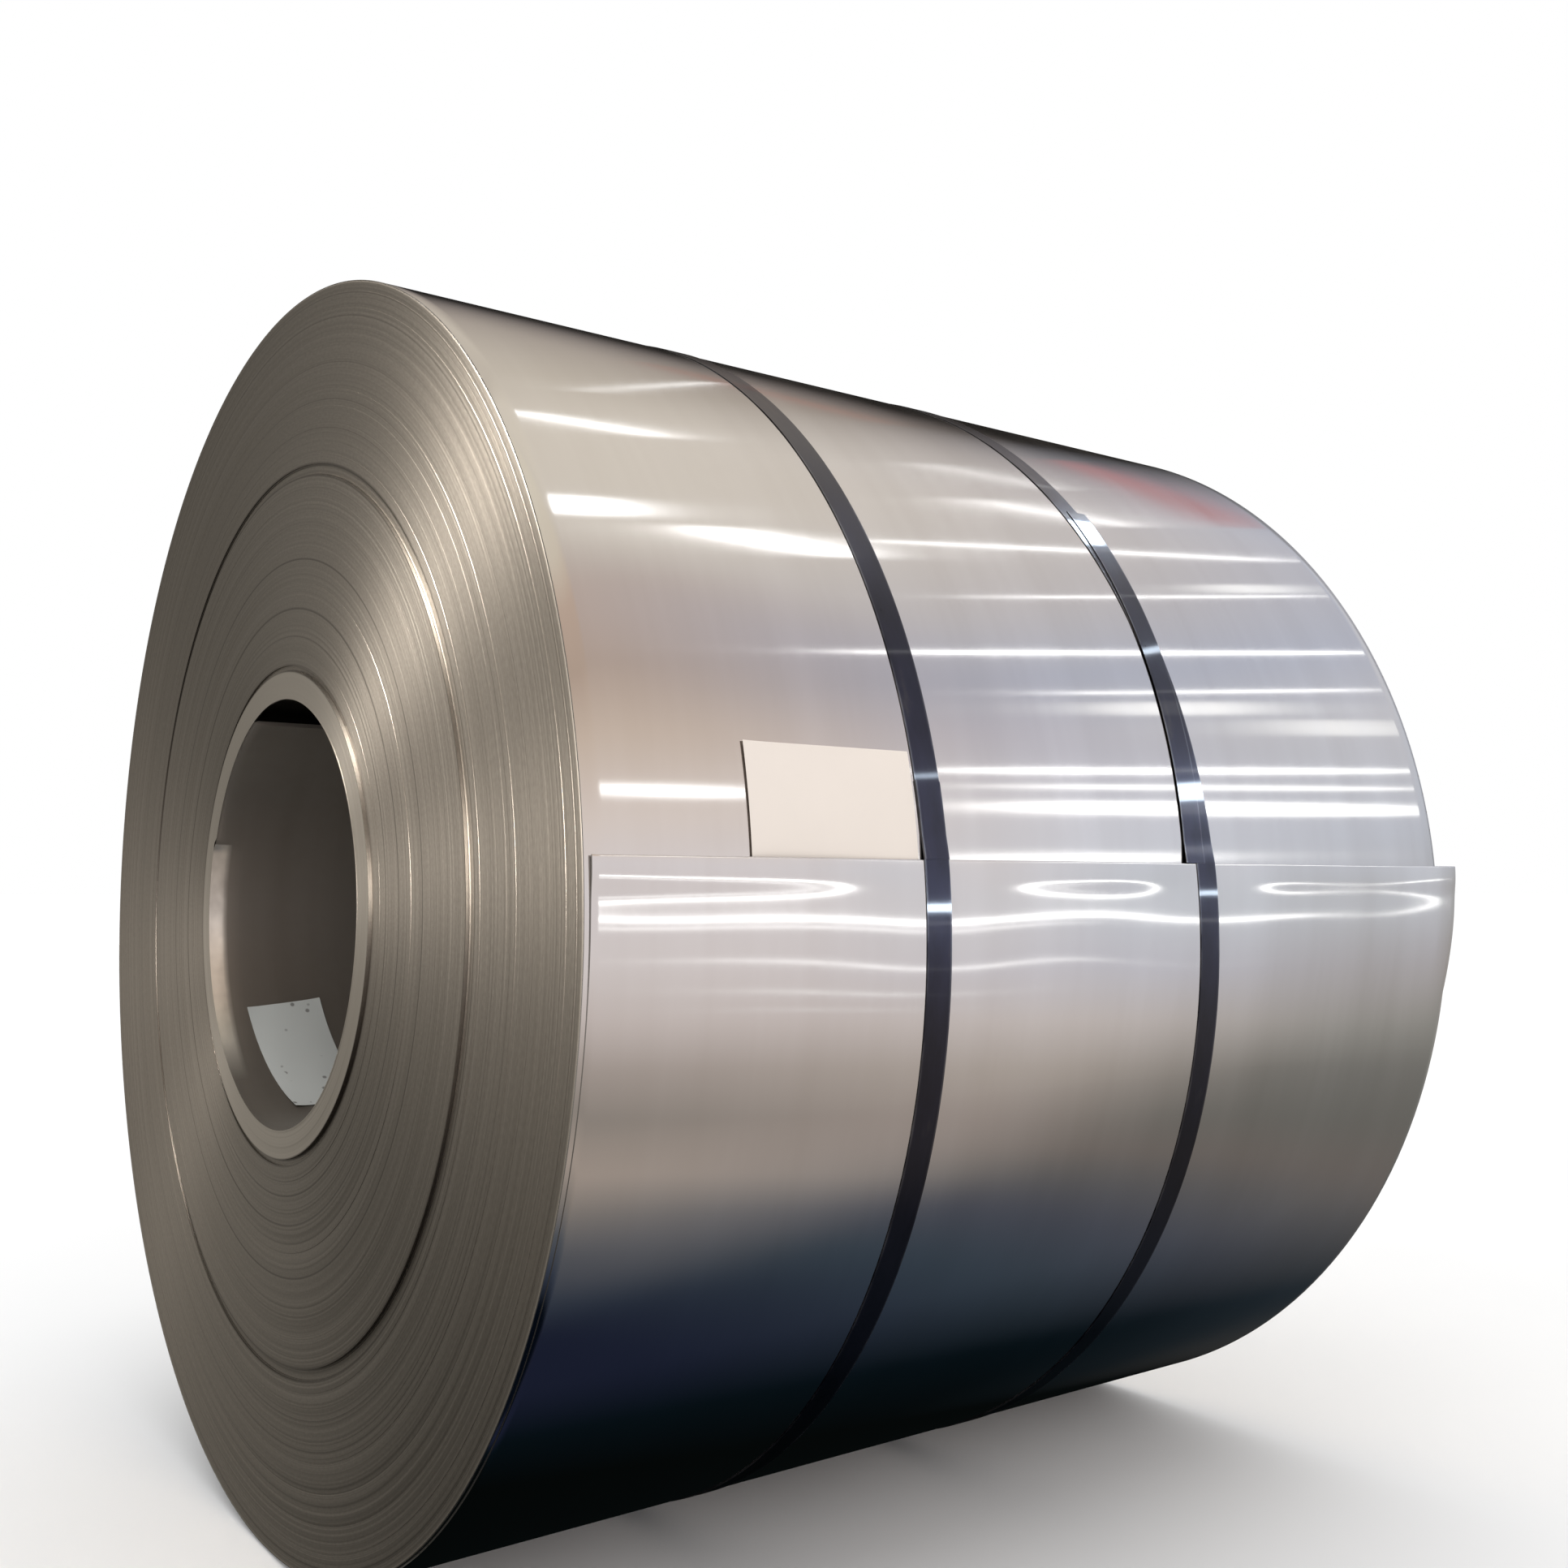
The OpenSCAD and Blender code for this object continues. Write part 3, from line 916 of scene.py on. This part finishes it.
def pale_floor():
    m = Shader("stage_floor")
    matt = m.node("BsdfDiffuse")
    where = m.node("TexCoord").outputs["Object"]
    cloud = m.noise(where, 0.8, detail=3)
    m.join(m.ramp(cloud, [(0.3, (0.84, 0.84, 0.84)), (0.7, (0.87, 0.87, 0.87))]), matt.inputs["Color"])
    m.join(matt.outputs[0], m.output.inputs["Surface"])
    places = np.linspace(-FLOOR_REACH, FLOOR_REACH, 9)
    x, y = np.meshgrid(places, places, indexing="ij")
    points = np.stack([x, y, np.full_like(x, FLOOR_Z)], -1)
    piece = add_grid("stage_floor", points, np.zeros((*x.shape, 2)))
    piece.data.materials.append(m.material)
    piece.visible_glossy = False


dome()
pale_floor()
WHITE = (1.0, 1.0, 1.0)

# Lamps under the roof, this high above the axis, which the strip mirrors as thin lines: the place of
# both ends in X and Y, width and power. Each has a thinner one on the coil's other side
LAMP_Z = 4.0
OTHER_SIDE = (-1.5, -1)
OTHER_WIDTH = 0.6
LAMPS = [
    ((0.05, 1.05), (-0.05, 1.7), 0.07, 5.0), ((1.65, 1.2), (1.35, 1.6), 0.26, 3.5),
    ((1.55, 1.9), (1.6, 2.7), 0.18, 5.0), ((10.5, 5.2), (10.5, 7.0), 0.40, 3.5),
    ((1.3, 2.6), (-0.1, 5.4), 0.035, 4.0), ((-0.75, 3.0), (-0.85, 3.9), 0.05, 3.5),
    ((0.0, 3.1), (-0.15, 4.2), 0.07, 4.5), ((2.1, 3.4), (0.7, 5.6), 0.025, 3.5),
    ((1.05, 4.7), (0.7, 5.3), 0.16, 1.7), ((3.7, 3.3), (1.9, 6.5), 0.045, 5.0),
    ((4.2, 5.1), (2.9, 7.2), 0.035, 4.0), ((4.5, 5.9), (3.9, 6.8), 0.30, 1.8),
    ((4.5, 7.6), (4.1, 8.6), 0.40, 1.6), ((7.9, 7.0), (6.0, 11.0), 0.10, 6.0),
    ((8.8, 8.3), (7.1, 12.7), 0.12, 3.0), ((10.6, 10.1), (9.0, 15.6), 0.50, 3.5),
    ((21.0, 18.0), (19.5, 24.0), 0.50, 3.0), ((-0.7, 1.4), (-2.4, 2.5), 0.02, 3.0),
]
for lamp_start, lamp_end, lamp_width, lamp_power in LAMPS:
    tube((*lamp_start, LAMP_Z), (*lamp_end, LAMP_Z), lamp_width, lamp_power, WHITE)
    other_start, other_end = ([move - place for move, place in zip(OTHER_SIDE, end)]
                              for end in (lamp_start, lamp_end))
    tube((*other_start, LAMP_Z), (*other_end, LAMP_Z), OTHER_WIDTH * lamp_width, lamp_power, WHITE)

# Bright doorways at the far end of the hall, what the floor throws back of them, and a red crane beam:
# azimuth and elevation of both ends, width, power and colour
DOORWAYS = [
    ((24, -1.7), (54, -1.7), 0.15, 5.0, WHITE), ((24, -3.0), (46, -3.0), 0.07, 3.0, WHITE),
    ((31, -8.4), (47, -8.4), 0.09, 2.6, WHITE), ((33, -12.2), (42, -12.2), 0.07, 2.0, WHITE),
    ((34, -14.5), (40, -14.5), 0.05, 1.6, WHITE),
    ((122, 34), (104, 36.5), 1.0, 0.6, (1.0, 0.42, 0.44)),
    ((140, 43), (126, 40), 0.8, 0.45, (1.0, 0.62, 0.52)),
]
for door_start, door_end, door_width, door_power, door_colour in DOORWAYS:
    tube(pointed(*door_start), pointed(*door_end), door_width, door_power, door_colour)


def gloss_lamp(name, place, target, size, spread, power, group, colour):
    """A lamp that only puts gloss on the pieces it is meant for, with its spread in degrees."""
    data = bpy.data.lights.new(name, "AREA")
    data.shape = "RECTANGLE"
    data.size, data.size_y = size
    data.spread = math.radians(spread)
    data.energy = power
    data.color = colour
    lamp = bpy.data.objects.new(name, data)
    lamp.location = place
    way = np.array(target, float) - np.array(place, float)
    lamp.rotation_euler = (math.atan2(math.hypot(way[0], way[1]), -way[2]), 0.0, math.atan2(-way[0], way[1]))
    lamp.visible_diffuse = False
    lamp.visible_camera = False
    bpy.context.scene.collection.objects.link(lamp)
    lamp.light_linking.receiver_collection = group


LAMPLIGHT = (1.0, 0.925, 0.84)
gloss_lamp("near_end_lamp", (0.6, -1.2, 1.9), (0.45, -0.62, 0.33), (0.8, 0.4), 50, 10.5,
           NEAR_END, LAMPLIGHT)
gloss_lamp("near_side_lamp", (2.2, -1.6, 0.5), (0.55, -0.62, 0.0), (0.5, 0.5), 60, 8, NEAR_END, LAMPLIGHT)
gloss_lamp("far_end_lamp", (-0.9, 1.9, 2.6), (-0.35, 0.62, 0.3), (0.5, 0.2), 60, 20, FAR_END, LAMPLIGHT)

# Short bright bars on the straps: place, target, height and power
GLINT_WIDTH = 0.5
DAYLIGHT = (0.72, 0.85, 1.0)
GLINTS = [
    ((4.44, 3.12, 0.05), (0.74, -0.24, 0.01), 0.10, 1.8),
    ((4.05, 3.08, 1.84), (0.73, -0.24, 0.14), 0.06, 0.3),
    ((3.53, 4.05, 1.56), (0.73, 0.16, 0.14), 0.24, 2.4),
    ((2.23, 3.93, 3.18), (0.67, 0.15, 0.30), 0.06, 0.3),
    ((0.28, 3.74, 3.92), (0.58, 0.15, 0.46), 0.14, 1.3),
    ((3.84, 4.08, 0.21), (0.74, 0.16, 0.02), 0.06, 0.5),
]
for number, (glint_place, glint_target, glint_height, glint_power) in enumerate(GLINTS):
    gloss_lamp(f"strap_glint_{number}", glint_place, glint_target, (GLINT_WIDTH, glint_height), 60,
               glint_power, ON_STRAPS, DAYLIGHT)

# The white studio, which lights what isn't glossy
world = bpy.data.worlds.new("stage_world")
bpy.context.scene.world = world
world.use_nodes = True
sky = world.node_tree.nodes["Background"]
sky.inputs["Color"].default_value = (*WHITE, 1.0)
sky.inputs["Strength"].default_value = 1.0
world.cycles_visibility.glossy = False

# Soft light from above, for the floor and the paper
soft = bpy.data.lights.new("soft", "SUN")
soft.energy = 0.75
soft.angle = math.radians(50)
soft_light = bpy.data.objects.new("soft", soft)
soft_light.rotation_euler = (math.radians(12), 0.0, math.radians(40))
soft_light.visible_glossy = False
bpy.context.scene.collection.objects.link(soft_light)

# ---------------------------------------------------------------- camera

# Where the camera stands, how far it looks up, and how far it is turned from +Y towards -X, in degrees
CAMERA_PLACE = (1.869, -1.262, 0.029)
CAMERA_UP = 3.78
CAMERA_TURN = 53.47
SENSOR_WIDTH_MM = 36.0
LENS_MM = 36.2

camera_data = bpy.data.cameras.new("camera")
camera_data.sensor_width = SENSOR_WIDTH_MM
camera_data.lens = LENS_MM
camera = bpy.data.objects.new("camera", camera_data)
camera.location = CAMERA_PLACE
camera.rotation_euler = (math.radians(90 + CAMERA_UP), 0.0, math.radians(CAMERA_TURN))
bpy.context.scene.collection.objects.link(camera)
bpy.context.scene.camera = camera
bpy.context.scene.view_settings.view_transform = "Standard"
